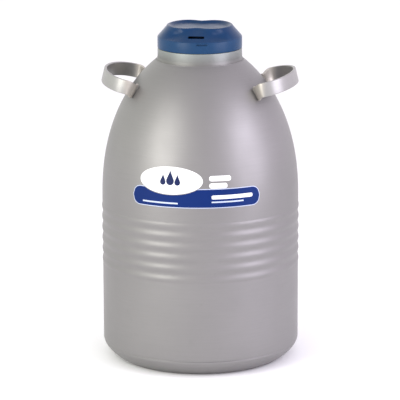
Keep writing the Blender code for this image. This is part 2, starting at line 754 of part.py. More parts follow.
def band_columns():
    columns = []
    for along in steps(-BAND_HALF_LENGTH, BAND_HALF_LENGTH, 33):
        from_end = BAND_HALF_LENGTH - abs(along)
        cut = 0.0
        if from_end < BAND_CORNER:
            cut = BAND_CORNER - math.sqrt(BAND_CORNER**2 - (BAND_CORNER - from_end) ** 2)
        low = BAND_Z - BAND_HALF_HEIGHT + cut
        columns.append((along, low, band_top(along) - cut))
    return columns


def oval_columns():
    columns = []
    for turn in steps(-84, 84, 19):
        along = OVAL_HALF_LENGTH * math.sin(math.radians(turn))
        half = oval_half_height(along)
        columns.append((along, OVAL_Z - half, OVAL_Z + half))
    return columns


def build_labels(materials):
    build_label("label_band", BAND_AZIMUTH, band_columns(), materials["label_blue"])
    build_label("label_oval", OVAL_AZIMUTH, oval_columns(), materials["label_white"])


# ---------------------------------------------------------------- assembly

def main():
    for item in list(bpy.data.objects):
        bpy.data.objects.remove(item)
    materials = make_materials()
    build_outer_shell(materials)
    build_bottom_head(materials)
    build_neck_collar(materials)
    build_neck_tube(materials)
    build_neck_rings(materials)
    build_inner_vessel(materials)
    build_insulation(materials)
    build_adsorbent(materials)
    build_getter(materials)
    build_port(materials)
    build_cap_cover(materials)
    build_cap_insides(materials)
    build_handles(materials)
    build_labels(materials)


main()
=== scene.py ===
"""Looks of the liquid nitrogen dewar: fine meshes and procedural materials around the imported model.

Metres and degrees throughout, in the model's frame: z = 0 is the floor, the neck is on the Z axis, the
labels face -Y and the handles are on +X and -X.
"""

import json
import math

import bmesh
import bpy
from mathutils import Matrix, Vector, geometry


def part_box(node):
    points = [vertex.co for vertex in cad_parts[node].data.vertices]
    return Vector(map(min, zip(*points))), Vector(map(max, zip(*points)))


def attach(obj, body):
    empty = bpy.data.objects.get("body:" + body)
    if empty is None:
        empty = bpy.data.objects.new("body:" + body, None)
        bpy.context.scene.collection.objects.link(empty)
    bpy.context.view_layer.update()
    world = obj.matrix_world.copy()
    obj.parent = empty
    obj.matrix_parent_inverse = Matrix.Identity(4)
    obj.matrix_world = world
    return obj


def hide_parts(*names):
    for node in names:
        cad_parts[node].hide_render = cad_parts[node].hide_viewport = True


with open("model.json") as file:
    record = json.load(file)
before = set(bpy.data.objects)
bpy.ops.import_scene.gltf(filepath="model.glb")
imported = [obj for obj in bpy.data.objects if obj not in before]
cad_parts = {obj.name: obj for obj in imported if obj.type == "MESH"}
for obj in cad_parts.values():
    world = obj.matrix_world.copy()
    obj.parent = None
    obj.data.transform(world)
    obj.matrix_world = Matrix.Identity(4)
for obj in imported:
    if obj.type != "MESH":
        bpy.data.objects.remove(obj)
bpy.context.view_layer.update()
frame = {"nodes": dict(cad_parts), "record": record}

# ---------------------------------------------------------------- sizes, as the model has them

GAP = 0.0003
ROUND = 192  # sides of an outer turned piece
CAP_ROUND = 240  # sides of the cap
LINER_ROUND = 128
NECK_ROUND = 96  # sides of a turned piece in the neck
SMALL_ROUND = 64  # sides of a small turned piece
SMOOTH_ANGLE = 32.0  # an edge that turns by more than this stays sharp
BODY_RADIUS = 0.197
SHELL_WALL = 0.002
SEAM_Z = 0.0335
DOME_BASE_Z = 0.3249
DOME_RISE = 0.3163
DOME_HEIGHT_POWER = 2.25
DOME_RADIUS_POWER = 1.7276
DOME_TOP_Z = 0.6035
DOME_RINGS = 60
DOME_RING_SPREAD = 0.95  # below 1 moves the dome's rings of points up, where it curves most
WALL_START_Z = 0.0635  # lowest ring of the plain wall above the hem
LAP_TOP_Z = 0.0615  # up to here the wall is straight inside
HEM = ((0.0009, 0.0), (0.0002, 0.0004), (0.0, 0.0016))  # the wall's lower edge: (inwards, up from the seam)
RIB_COUNT = 6
RIB_TOP_Z = 0.3082
RIB_PITCH = 0.0219
RIB_HEIGHT = 0.0009
RIB_RINGS = 110
FOOT_RADIUS = 0.165
FOOT_INNER_RADIUS = 0.150
FOOT_INSET = 0.001  # the foot's inner corners are this far in from its outer ones
DISH = ((0.0, 0.009), (0.110, 0.008), (0.138, 0.003))  # (radius, height) of the recessed underside
DISH_EASE = 0.005
HEAD_RADIUS = 0.1953
HEAD_LIP_RADIUS = 0.1943
HEAD_LIP_TOP_Z = 0.047
HEAD_EDGE = ((0.0, 0.0012), (0.0004, 0.0005), (0.0010, 0.0004))  # (inwards, down from the seam)
HEAD_FLANK_TOP_Z = 0.0295
FLANK_NEAR_FOOT = (0.170, 0.002)  # the two points that steer the flank's curve
FLANK_NEAR_SEAM = (0.1903, 0.01608)
FLANK_POINTS = 28
COLLAR_BASE_RADIUS = 0.0862
COLLAR_TOP_RADIUS = 0.0839
COLLAR_LEDGE_Z = 0.6275
COLLAR_WALL = 0.003
COLLAR_FLARE = 0.006  # height of the flare at the collar's foot
COLLAR_EASE = 0.0008
COLLAR_BEAD = 0.0011  # radius of the weld round its foot
SPIGOT_RADIUS = 0.0796
DECK_Z = 0.6335
DECK_THICKNESS = 0.003
DECK_HOLE_RADIUS = 0.0413
NECK_RADIUS = 0.032
NECK_RING_INNER = 0.0338
CAP_RADIUS = 0.0842
CAP_WALL = 0.003
CAP_BOTTOM_Z = 0.628
CAP_SKIRT_TOP_Z = 0.650
CAP_TOP_Z = 0.6738
CAP_FLOOR_Z = 0.6684
CAP_RIM_RADIUS = 0.0662
CAP_FLANK_TOP = 0.003  # the flank ends this far below the cap's top
CAP_FLANK_INSET = (0.0045, 0.0025)  # from the flank's outside to its inside: inwards, and down
CAP_ROOF_INSET = 0.012  # from the rim to the edge of the roof's flat underside
# the rolled rim, from the floor of the dished top out: (distance in from its edge, distance below the top)
CAP_RIM = ((0.012, 0.0054), (0.006, 0.0012), (0.0035, 0.0), (0.001, 0.001))
CAP_EASE = 0.0016
CAP_TURN = 1.5
PULL_TURN = 10.0
GRIP_DEPTH = 0.019
GRIP_SPREAD = 23.0
SCOOP_ANGLE = 36.0
SCOOP_SPREAD = 14.0
SCOOP_POWER = 3.2
LOCK_SLOT = (0.032, 0.030, 0.0044)
LOCK_SLOT_Z = 0.6580
LOCK_SLOT_REACH = 0.068
PULL_SLOT = (0.021, 0.0052, 0.0026)
PULL_SLOT_Z = 0.6454
SLOT_CORNER = 0.0009
LIP_HALF_WIDTH = 0.0135  # of the raised lip over the small slot
LIP_RISE = 0.0052
LIP_DROP = 0.0014  # its ends are this far below the slot's middle
LIP_SIZE = 0.0013
LIP_SINK = 0.0002
LINER_Z = 0.6445
LINER_THICKNESS = 0.0015
LINER_RADIUS = 0.0800
PLUG_RADIUS = 0.0295
PLUG_BOTTOM_Z = 0.515
PLUG_EASE = 0.004
PLUG_RINGS = 14
PORT_AZIMUTH = 145.0
PORT_REACH = 0.060
PORT_STEM_BORE = 0.007
PORT_COVER_WALL = 0.0012
HANDLE_WIDTH = 0.028
HANDLE_THICKNESS = 0.0055
HANDLE_REACH = 0.1940
HANDLE_HALF_SPREAD = 0.0865
HANDLE_ARC_START = 0.138
HANDLE_ARC_Z = 0.5603
HANDLE_TILT = 13.7
HANDLE_FOOT = (0.1190, 0.0690)
FOOT_TWIST = 0.9
FOOT_STATIONS = 16
ARC_STATIONS = 30
CLEAR_OF_DOME = 0.9  # share of the body's radius beyond which the strap is well above the dome
STRAP_EASE = 0.0016
FOOT_PAINTED_HIGHLIGHT_END = 0.160  # the painted highlight on the feet is full out to this far from the axis
# from here on the strap has its plain colour, with no painted highlight
PAINTED_HIGHLIGHT_GONE_AT = 0.168
BEAD_SIZE = 0.0024  # radius of the weld at a handle's foot
BEAD_PAST_END = (0.0016, 0.015)  # how far the bead is past the strap's end: in X, and as a share of its Y
BEAD_LIFT = 0.0008
LABEL_GAP = 0.0004
LABEL_THICKNESS = 0.0004
BAND_AZIMUTH = 4.7
BAND_Z = 0.3636
BAND_HALF_LENGTH = 0.1325
BAND_HALF_HEIGHT = 0.0175
BAND_CORNER = 0.0160
OVAL_AZIMUTH = -10.2
OVAL_Z = 0.3974
OVAL_HALF_LENGTH = 0.0660
OVAL_HALF_HEIGHT = 0.0268
OVAL_CLEARANCE = 0.0015
BAND_EDGE = 0.0015  # width of the band's pale edge
BAND_LOW = 0.0005  # height of the band's underside above the body, clear of its pale edge
BAND_EDGE_LIFT = (0.0002, 0.0004)  # heights of a thin sheet's two faces above the body
INK_LIFT = (0.00082, 0.00096)  # the same for a mark on a label
BODY_MARK_LIFT = (0.0002, 0.0005)  # and for a mark on the bare metal
BODY_MARK_AZIMUTH = -9.7
BAND_COLUMNS = 97
OVAL_COLUMNS = 61
DROP_Z = 0.3885  # lower end of the drops on the oval
DROP_TAPER = 1.6

CAMERA_AZIMUTH = 7.5
CAMERA_ELEVATION = 13.154
CAMERA_DISTANCE = 5.5
CAMERA_AIM = (0.0, 0.0, 0.33)
CAMERA_SENSOR = 36.0  # millimetres, as the lens
CAMERA_LENS = 246.04
CAMERA_SHIFT = (-0.0008, -0.018)
CAMERA_ROLL = -0.2
CAMERA_CLIP_END = 60.0

SKY_STRENGTH = 1.35
SKY_HORIZON = (1.0, 1.0, 1.0)
SKY_OVERHEAD = (0.70, 0.70, 0.71)
SKY_FROM_LEFT = (0.97, 1.0, 0.93)
SKY_FROM_RIGHT = (1.02, 0.94, 1.08)
LIGHT_TARGET_Z = 0.35
# name, azimuth, distance, height, (width, height of the box), watts, colour
SOFT_BOXES = (
    ("left_box", -38.0, 1.3, 0.85, (0.70, 1.1), 10.5, (1.0, 1.0, 0.95)),
    ("right_box", 66.0, 1.3, 0.80, (0.80, 1.1), 10.5, (0.90, 0.87, 1.0)),
)
FLOOR_HALF = 12.0
FLOOR_Z = -0.0005

NOISE_LOW = 0.3  # most of a noise's values lie between these two
NOISE_HIGH = 0.7
BLACK = (0.0, 0.0, 0.0)


# ---------------------------------------------------------------- materials

class Nodes:
    """A material's nodes, with short ways to add and join them."""

    def __init__(self, name, roughness, metallic=0.0):
        self.material = bpy.data.materials.new(name)
        self.material.use_nodes = True
        self.tree = self.material.node_tree
        self.shader = self.tree.nodes["Principled BSDF"]
        self.shader.inputs["Metallic"].default_value = metallic
        self.shader.inputs["Roughness"].default_value = roughness
        self.place = self.add("ShaderNodeTexCoord").outputs["Object"]

    def add(self, kind, **values):
        node = self.tree.nodes.new(kind)
        for key, value in values.items():
            setattr(node, key, value)
        return node

    def join(self, output, socket):
        self.tree.links.new(output, socket)

    def stretched(self, scale):
        mapping = self.add("ShaderNodeMapping")
        mapping.inputs["Scale"].default_value = scale
        self.join(self.place, mapping.inputs["Vector"])
        return mapping.outputs["Vector"]

    def noise(self, scale, detail=3.0, stretch=None):
        node = self.add("ShaderNodeTexNoise")
        node.inputs["Scale"].default_value = scale
        node.inputs["Detail"].default_value = detail
        self.join(self.stretched(stretch) if stretch else self.place, node.inputs["Vector"])
        return node.outputs["Fac"]

    def cells(self, scale):
        node = self.add("ShaderNodeTexVoronoi")
        node.inputs["Scale"].default_value = scale
        self.join(self.place, node.inputs["Vector"])
        return node.outputs["Distance"]

    def ramp(self, value, stops):
        node = self.add("ShaderNodeValToRGB")
        elements = node.color_ramp.elements
        while len(elements) < len(stops):
            elements.new(0.5)
        for element, (position, colour) in zip(elements, stops):
            element.position = position
            element.color = (*colour, 1.0)
        self.join(value, node.inputs["Fac"])
        return node.outputs["Color"]

    def clouds(self, scale, detail, dark, light):
        """Soft patches between two colours."""
        return self.ramp(self.noise(scale, detail), [(NOISE_LOW, dark), (NOISE_HIGH, light)])

    def above(self, value, low, high, most):
        """0 up to the lower value, rising to most at the upper one."""
        return self.ramp(value, [(0.0, BLACK), (low, BLACK), (high, (most, most, most))])

    def rescaled(self, value, first, last, low=0.0, high=1.0):
        """low up to the first value, high from the last one on, and a straight slope between them."""
        node = self.add("ShaderNodeMapRange")
        node.inputs["From Min"].default_value = first
        node.inputs["From Max"].default_value = last
        node.inputs["To Min"].default_value = low
        node.inputs["To Max"].default_value = high
        self.join(value, node.inputs["Value"])
        return node.outputs["Result"]

    def spread(self, value, low, high):
        """A noise's values spread from low to high."""
        return self.rescaled(value, NOISE_LOW, NOISE_HIGH, low, high)

    def height_between(self, low, high):
        """0 below the lower height, 1 above the upper one."""
        split = self.add("ShaderNodeSeparateXYZ")
        self.join(self.place, split.inputs["Vector"])
        return self.rescaled(split.outputs["Z"], low, high)

    def mixed(self, share, first, second, blend="MIX"):
        """Two colours, or outputs, mixed; share is an output or a number, and 1 gives the second alone."""
        node = self.add("ShaderNodeMix", data_type="RGBA", blend_type=blend)
        if isinstance(share, float):
            node.inputs["Factor"].default_value = share
        else:
            self.join(share, node.inputs["Factor"])
        for socket, value in ((node.inputs["A"], first), (node.inputs["B"], second)):
            if isinstance(value, tuple):
                socket.default_value = (*value, 1.0)
            else:
                self.join(value, socket)
        return node.outputs["Result"]

    def bump(self, height, strength, distance, below=None):
        node = self.add("ShaderNodeBump")
        node.inputs["Strength"].default_value = strength
        node.inputs["Distance"].default_value = distance
        self.join(height, node.inputs["Height"])
        if below is not None:
            self.join(below, node.inputs["Normal"])
        return node.outputs["Normal"]

    def finish(self, colour, roughness=None, normal=None):
        self.join(colour, self.shader.inputs["Base Color"])
        if roughness is not None:
            self.join(roughness, self.shader.inputs["Roughness"])
        if normal is not None:
            self.join(normal, self.shader.inputs["Normal"])
        return self.material


def shade(colour, factor):
    return tuple(min(1.0, part * factor) for part in colour)


def satin_silver():
    """Pearly satin aluminium: cloudy tone, faint lines round it from spinning, small dull scuffs."""
    m = Nodes("satin_silver_look", 0.45, 0.7)
    base = (0.252, 0.245, 0.242)
    clouds = m.clouds(5.0, 4.0, shade(base, 0.95), shade(base, 1.05))
    lines = m.noise(30.0, 4.0, stretch=(0.6, 0.6, 22.0))
    streaked = m.mixed(m.spread(lines, 0.0, 0.35), clouds, shade(base, 0.90))
    scuffs = m.above(m.noise(60.0, 6.0), 0.64, 0.76, 0.5)
    worn = m.mixed(scuffs, streaked, shade(base, 0.93))
    rough = m.spread(m.noise(12.0, 5.0), 0.42, 0.50)
    fine = m.bump(lines, 0.06, 0.0003)
    grain = m.bump(m.noise(900.0, 2.0), 0.10, 0.0002, fine)
    return m.finish(worn, rough, grain)


def painted(name, base, roughness, metallic=0.0, grain=700.0, depth=0.0002, wear=1.25, specular=0.5):
    """Satin paint or moulded plastic: slight clouding and a fine skin; wear above 1 pales its edges."""
    m = Nodes(name, roughness, metallic)
    m.shader.inputs["Specular IOR Level"].default_value = specular
    clouds = m.clouds(9.0, 4.0, shade(base, 0.90), shade(base, 1.10))
    edges = m.add("ShaderNodeNewGeometry").outputs["Pointiness"]
    edge = m.above(edges, 0.53, 0.60, 0.5)
    worn = m.mixed(edge, clouds, shade(base, wear))
    rough = m.spread(m.noise(25.0, 4.0), roughness - 0.05, roughness + 0.07)
    return m.finish(worn, rough, m.bump(m.noise(grain, 2.0), 0.12, depth))


def blue_plastic():
    """Glossy blue moulding with pale rubs; the skirt is a paler blue than the flank above it, painted light
    on the upright skirt.
    """
    m = Nodes("blue_plastic_look", 0.3)
    m.shader.inputs["Specular IOR Level"].default_value = 0.2
    base = (0.003, 0.030, 0.094)
    # skirt: a lit copy of the flank's blue, painted light where the upright skirt catches more light
    skirt = (0.010, 0.045, 0.115)
    blend = 0.002  # half the height over which one tone passes into the other
    above_skirt = m.height_between(CAP_SKIRT_TOP_Z - blend, CAP_SKIRT_TOP_Z + blend)
    # moulded carries the flank's blue and the skirt's painted light
    moulded = m.mixed(above_skirt, skirt, base)
    clouds = m.clouds(9.0, 4.0, (0.90, 0.90, 0.90), (1.0, 1.0, 1.0))
    clouded = m.mixed(1.0, moulded, clouds, "MULTIPLY")
    rubs = m.above(m.noise(38.0, 6.0), 0.62, 0.75, 0.3)
    worn = m.mixed(rubs, clouded, (0.02, 0.07, 0.16))
    rough = m.spread(m.noise(25.0, 4.0), 0.24, 0.36)
    return m.finish(worn, rough, m.bump(m.noise(500.0, 2.0), 0.10, 0.0002))


def collar_paint():
    """Pale metallic paint, darker towards the collar's foot: painted shade at the crease where it meets the
    dome.
    """
    m = Nodes("collar_paint_look", 0.42, 0.5)
    clouds = m.clouds(9.0, 4.0, (0.210, 0.230, 0.220), (0.240, 0.260, 0.250))
    # the darker colour low down is painted shade at the collar's foot
    colour = m.mixed(m.height_between(DOME_TOP_Z, COLLAR_LEDGE_Z), (0.155, 0.150, 0.143), clouds)
    roughness = m.spread(m.noise(25.0, 4.0), 0.37, 0.48)
    return m.finish(colour, roughness, m.bump(m.noise(700.0, 2.0), 0.10, 0.0002))


def brushed(name, base, roughness, stretch, metallic=1.0):
    """Bare metal with its grain along one direction."""
    m = Nodes(name, roughness, metallic)
    grain = m.noise(90.0, 5.0, stretch=stretch)
    clouds = m.clouds(11.0, 4.0, shade(base, 0.92), shade(base, 1.06))
    streaked = m.mixed(m.spread(grain, 0.0, 0.5), clouds, shade(base, 0.82))
    rough = m.spread(grain, roughness - 0.06, roughness + 0.08)
    return m.finish(streaked, rough, m.bump(grain, 0.2, 0.0003))


def handle_metal():
    """Satin strap whose feet, near the dome, carry a painted highlight: a paler colour that fades out along
    the strap.
    """
    m = Nodes("handle_metal_look", 0.38, 0.7)
    grain = m.noise(90.0, 5.0, stretch=(1.0, 1.0, 8.0))
    reach = m.add("ShaderNodeVectorMath", operation="LENGTH")
    m.join(m.stretched((1.0, 1.0, 0.0)), reach.inputs[0])
    # the paler colour on the feet is a painted highlight, fading out into the strap's own colour
    strap = m.rescaled(reach.outputs["Value"], FOOT_PAINTED_HIGHLIGHT_END, PAINTED_HIGHLIGHT_GONE_AT)
    colour = m.mixed(strap, (0.50, 0.47, 0.42), (0.34, 0.335, 0.325))
    clouds = m.clouds(11.0, 4.0, (0.92, 0.92, 0.92), (1.0, 1.0, 1.0))
    clouded = m.mixed(m.spread(grain, 0.6, 1.0), colour, clouds, "MULTIPLY")
    return m.finish(clouded, m.spread(grain, 0.32, 0.46), m.bump(grain, 0.2, 0.0003))


def foam():
    m = Nodes("white_foam_look", 0.9)
    cells = m.cells(330.0)
    colour = m.ramp(cells, [(0.0, (0.48, 0.47, 0.42)), (0.5, (0.62, 0.60, 0.54))])
    return m.finish(colour, None, m.bump(cells, 0.5, 0.0008))


def laminate():
    """Glass-epoxy tube: pale green-yellow with a woven cross grain."""
    m = Nodes("neck_laminate_look", 0.42)
    weave = m.noise(160.0, 3.0, stretch=(1.0, 1.0, 5.0))
    colour = m.ramp(weave, [(0.35, (0.36, 0.42, 0.20)), (0.65, (0.52, 0.58, 0.32))])
    return m.finish(colour, m.spread(weave, 0.36, 0.5), m.bump(weave, 0.3, 0.0003))


def foil():
    m = Nodes("foil_blanket_look", 0.25, 1.0)
    creases = m.noise(70.0, 6.0)
    colour = m.ramp(creases, [(NOISE_LOW, (0.62, 0.62, 0.64)), (NOISE_HIGH, (0.82, 0.82, 0.84))])
    return m.finish(colour, m.spread(creases, 0.2, 0.4), m.bump(creases, 0.8, 0.003))


def beads():
    m = Nodes("sieve_beads_look", 0.9)
    cells = m.cells(500.0)
    colour = m.ramp(cells, [(0.0, (0.60, 0.52, 0.40)), (0.6, (0.28, 0.23, 0.17))])
    return m.finish(colour, None, m.bump(cells, 0.8, 0.002))


def floor_paint():
    m = Nodes("floor_look", 0.7)
    return m.finish(m.clouds(2.0, 3.0, (0.955, 0.955, 0.955), (0.965, 0.965, 0.965)))


looks = {
    "satin_silver": satin_silver(),
    "collar_paint": collar_paint(),
    "blue_plastic": blue_plastic(),
    "port_plastic": painted("port_plastic_look", (0.02, 0.05, 0.14), 0.5),
    "handle_metal": handle_metal(),
    "label_white": painted("label_white_look", (0.84, 0.85, 0.84), 0.42, wear=1.0),
    "label_blue": painted("label_blue_look", (0.003, 0.020, 0.125), 0.42, wear=1.0, specular=0.12),
    "label_edge": painted("label_edge_look", (0.50, 0.56, 0.72), 0.42, wear=1.0),
    "label_navy": painted("label_navy_look", (0.008, 0.016, 0.075), 0.42, wear=1.0, specular=0.15),
    "neck_laminate": laminate(),
    "bare_aluminium": brushed("bare_aluminium_look", (0.62, 0.62, 0.63), 0.34, (1.0, 1.0, 6.0)),
    "weld_metal": brushed("weld_metal_look", (0.42, 0.41, 0.39), 0.42, (3.0, 3.0, 3.0), 0.6),
    "foil_blanket": foil(),
    "white_foam": foam(),
    # dark foam: painted shade for the lock slot, where the cap's foam shows
    "slot_shade_foam": painted("slot_shade_foam_look", (0.030, 0.042, 0.085), 0.9, wear=1.0, specular=0.1),
    "white_plastic": painted("white_plastic_look", (0.60, 0.60, 0.57), 0.42, wear=1.1),
    "sieve_beads": beads(),
    "black_rubber": painted("black_rubber_look", (0.02, 0.02, 0.02), 0.7),
}


# ---------------------------------------------------------------- mesh helpers

def steps(first, last, count):
    """Evenly spaced values from first to last, both included."""
    return [first + (last - first) * i / (count - 1) for i in range(count)]


def polar(azimuth, radius, z):
    angle = math.radians(azimuth)
    return Vector((radius * math.cos(angle), radius * math.sin(angle), z))


def circle(radius, count):
    """Points round a circle, as pairs of distances from its middle."""
    turns = [2 * math.pi * k / count for k in range(count)]
    return [(radius * math.cos(turn), radius * math.sin(turn)) for turn in turns]


def eased(points, radius, arc=5, closed=False):
    """The outline with each corner rounded by a short curve of arc points."""
    most = 0.49  # share of a side that one corner's curve may take, so that two never meet
    count = len(points)
    out = []
    for i, point in enumerate(points):
        here = Vector(point)
        if not closed and i in (0, count - 1):
            out.append(here)
            continue
        before = Vector(points[i - 1]) - here
        after = Vector(points[(i + 1) % count]) - here
        start = here + before * min(most, radius / max(before.length, 1e-9))
        end = here + after * min(most, radius / max(after.length, 1e-9))
        for t in steps(0.0, 1.0, arc):
            out.append(start * (1 - t) ** 2 + here * 2 * t * (1 - t) + end * t**2)
    return out


def piece(name, mesh_data, look, body, replaced=(), smooth_angle=SMOOTH_ANGLE):
    """A finished piece that rides on a body and stands for some of the model's nodes."""
    bmesh.ops.recalc_face_normals(mesh_data, faces=mesh_data.faces)
    mesh = bpy.data.meshes.new(name)
    mesh_data.to_mesh(mesh)
    mesh_data.free()
    mesh.materials.append(looks[look])
    mesh.shade_smooth()
    mesh.set_sharp_from_angle(angle=math.radians(smooth_angle))
    item = bpy.data.objects.new(name, mesh)
    bpy.context.scene.collection.objects.link(item)
    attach(item, body)
    if replaced:
        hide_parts(*replaced)
    return item


def bridged(columns, ring=True, closed_columns=True):
    """Quads between neighbouring columns of points; ring joins the last column to the first."""
    shape = bmesh.new()
    built = [[shape.verts.new(point) for point in column] for column in columns]
    pairs = list(zip(built, built[1:])) + ([(built[-1], built[0])] if ring else [])
    for this, following in pairs:
        count = len(this)
        for i in range(count if closed_columns else count - 1):
            j = (i + 1) % count
            shape.faces.new((this[i], this[j], following[j], following[i]))
    if not ring:
        shape.faces.new(built[0])
        shape.faces.new(built[-1])
    bmesh.ops.remove_doubles(shape, verts=shape.verts, dist=1e-7)
    return shape


def turned(profile, sides=ROUND, centre=(0.0, 0.0)):
    """A profile of (radius, z) turned about a vertical axis; it ends on the axis or is a closed ring."""
    on_axis = profile[0][0] < 1e-6 and profile[-1][0] < 1e-6
    columns = []
    for i in range(sides):
        turn = 360.0 * i / sides
        offset = Vector((centre[0], centre[1], 0.0))
        columns.append([polar(turn, p[0], p[1]) + offset for p in profile])
    return bridged(columns, closed_columns=not on_axis)


def cutter(name, shape, location, turn_z=0.0):
    """A shape set in place for cutting; cut() removes it again."""
    mesh = bpy.data.meshes.new(name)
    shape.to_mesh(mesh)
    shape.free()
    item = bpy.data.objects.new(name, mesh)
    bpy.context.scene.collection.objects.link(item)
    item.location = location
    item.rotation_euler.z = math.radians(turn_z)
    return item


def slot_shape(size):
    """A box with its four long edges, along Y, slightly rounded."""
    shape = bmesh.new()
    bmesh.ops.create_cube(shape, size=1.0)
    bmesh.ops.scale(shape, vec=size, verts=shape.verts)
    edges = [e for e in shape.edges if abs(e.verts[0].co.y - e.verts[1].co.y) > 1e-6]
    bmesh.ops.bevel(shape, geom=edges, offset=SLOT_CORNER, segments=3, affect="EDGES")
    return shape


def cut(target, cutters):
    """Cuts the shapes out of the target and leaves the result in its mesh."""
    for cutter in cutters:
        modifier = target.modifiers.new("cut", "BOOLEAN")
        modifier.operation = "DIFFERENCE"
        modifier.object = cutter
    bpy.context.view_layer.update()
    graph = bpy.context.evaluated_depsgraph_get()
    result = bpy.data.meshes.new_from_object(target.evaluated_get(graph))
    target.modifiers.clear()
    target.data = result
    result.shade_smooth()
    result.set_sharp_from_angle(angle=math.radians(SMOOTH_ANGLE))
    for cutter in cutters:
        bpy.data.objects.remove(cutter)


# ---------------------------------------------------------------- shell and bottom head

def dome_radius(z):
    """Radius of the dome at this height."""
    height = max(0.0, (z - DOME_BASE_Z) / DOME_RISE)
    return BODY_RADIUS * (1 - height**DOME_HEIGHT_POWER) ** (1 / DOME_RADIUS_POWER)


def dome_height(radius):
    """Height of the dome at this distance from the axis."""
    share = 1 - (radius / BODY_RADIUS) ** DOME_RADIUS_POWER
    return DOME_BASE_Z + DOME_RISE * share ** (1 / DOME_HEIGHT_POWER)


def dome_normal(radius):
    """The dome's outward direction as (away from the axis, up); the radius is short of the body's."""
    reach = 0.0005
    fall = (dome_height(radius - reach) - dome_height(radius + reach)) / (2 * reach)
    length = math.hypot(1.0, fall)
    return fall / length, 1.0 / length


def rib_lift(z):
    """How far the wall stands out at this height: six soft ribs with shallow valleys between them."""
    low = RIB_TOP_Z - (RIB_COUNT - 1) * RIB_PITCH
    from_first = (z - low) / RIB_PITCH
    if from_first < -0.5 or from_first > RIB_COUNT - 0.5:
        return 0.0
    wave = math.cos(2 * math.pi * from_first)
    at_end = from_first < -0.25 or from_first > RIB_COUNT - 0.75
    return 0.0 if at_end and wave < 0 else RIB_HEIGHT * wave


def build_shell():
    outer = [(BODY_RADIUS - inwards, SEAM_Z + up) for inwards, up in HEM]
    below_ribs = RIB_TOP_Z - RIB_COUNT * RIB_PITCH
    above_ribs = RIB_TOP_Z + RIB_PITCH * 0.6
    outer += [(BODY_RADIUS, z) for z in steps(WALL_START_Z, below_ribs, 5)]
    for z in steps(below_ribs + 0.001, above_ribs, RIB_RINGS):
        outer.append((BODY_RADIUS + rib_lift(z), z))
    dome = []
    for turn in steps(0, 90, DOME_RINGS):
        share = math.sin(math.radians(turn)) ** DOME_RING_SPREAD
        z = DOME_BASE_Z + share * (DOME_TOP_Z - DOME_BASE_Z)
        dome.append((dome_radius(z), z))
    outer += dome
    inner = []
    for radius, z in dome[::-4]:
        out, up = dome_normal(min(radius, BODY_RADIUS - 0.001))
        if z > DOME_BASE_Z + 0.01:
            inner.append((radius - SHELL_WALL * out, z - SHELL_WALL * up))
    wall_inside = BODY_RADIUS - SHELL_WALL
    inner += [(wall_inside - 0.0005, DOME_BASE_Z), (wall_inside, LAP_TOP_Z), (wall_inside, SEAM_Z)]
    piece("shell_wall", turned(outer + inner), "satin_silver", "flask", ["outer_shell"], 50.0)


def build_bottom():
    flank = geometry.interpolate_bezier(
        Vector((FOOT_RADIUS, 0.0)),
        Vector(FLANK_NEAR_FOOT),
        Vector(FLANK_NEAR_SEAM),
        Vector((HEAD_RADIUS, HEAD_FLANK_TOP_Z)),
        FLANK_POINTS,
    )
    flank = [(point.x, point.y) for point in flank]
    under = [*DISH, (FOOT_INNER_RADIUS, 0.0)]
    outer = [tuple(p) for p in eased(under + flank[:1], DISH_EASE)][:-1]
    outer += flank
    outer += [(HEAD_RADIUS - inwards, SEAM_Z - down) for inwards, down in HEAD_EDGE]
    outer += [(HEAD_LIP_RADIUS, HEAD_LIP_TOP_Z)]
    inner_lip = HEAD_LIP_RADIUS - SHELL_WALL
    inner = [(inner_lip, HEAD_LIP_TOP_Z), (inner_lip, HEAD_FLANK_TOP_Z)]
    for first, last in zip(flank[:0:-3], flank[-2::-3]):
        along = Vector((first[0] - last[0], first[1] - last[1])).normalized()
        inner.append((first[0] - SHELL_WALL * along.y, first[1] + SHELL_WALL * along.x))
    inner += [(FOOT_RADIUS - FOOT_INSET, SHELL_WALL), (FOOT_INNER_RADIUS + FOOT_INSET, SHELL_WALL)]
    inner += [(radius, height + SHELL_WALL) for radius, height in reversed(DISH)]
    piece("bottom_pan", turned(outer + inner), "satin_silver", "flask", ["bottom_head"], 50.0)


# ---------------------------------------------------------------- collar, neck and port

def build_collar():
    base_z = DOME_TOP_Z + GAP
    under_deck = DECK_Z - DECK_THICKNESS
    profile = [
        (COLLAR_BASE_RADIUS, base_z),
        (COLLAR_TOP_RADIUS + GAP, base_z + COLLAR_FLARE),
        (COLLAR_TOP_RADIUS, COLLAR_LEDGE_Z),
        (SPIGOT_RADIUS, COLLAR_LEDGE_Z),
        (SPIGOT_RADIUS, DECK_Z),
        (DECK_HOLE_RADIUS, DECK_Z),
        (DECK_HOLE_RADIUS, under_deck),
        (SPIGOT_RADIUS - COLLAR_WALL, under_deck),
        (SPIGOT_RADIUS - COLLAR_WALL, COLLAR_LEDGE_Z - COLLAR_WALL),
        (COLLAR_TOP_RADIUS - COLLAR_WALL, COLLAR_LEDGE_Z - COLLAR_WALL),
        (COLLAR_BASE_RADIUS - COLLAR_WALL, base_z),
    ]
    shape = turned(eased(profile, COLLAR_EASE, closed=True))
    collar = piece("collar", shape, "collar_paint", "flask", ["neck_collar"])
    drill = bmesh.new()
    bmesh.ops.create_cone(
        drill,
        cap_ends=True,
        segments=48,
        radius1=PORT_STEM_BORE,
        radius2=PORT_STEM_BORE,
        depth=4 * DECK_THICKNESS,
    )
    cut(collar, [cutter("drill", drill, polar(PORT_AZIMUTH, PORT_REACH, DECK_Z))])


def build_collar_weld():
    """A fine bead round the collar's foot, finished as the shell is."""
    radius = COLLAR_BASE_RADIUS + 0.0004
    z = DOME_TOP_Z - 0.0001
    profile = [(radius + out, z + up) for out, up in circle(COLLAR_BEAD, 12)]
    piece("collar_weld", turned(profile), "satin_silver", "flask", (), 60.0)


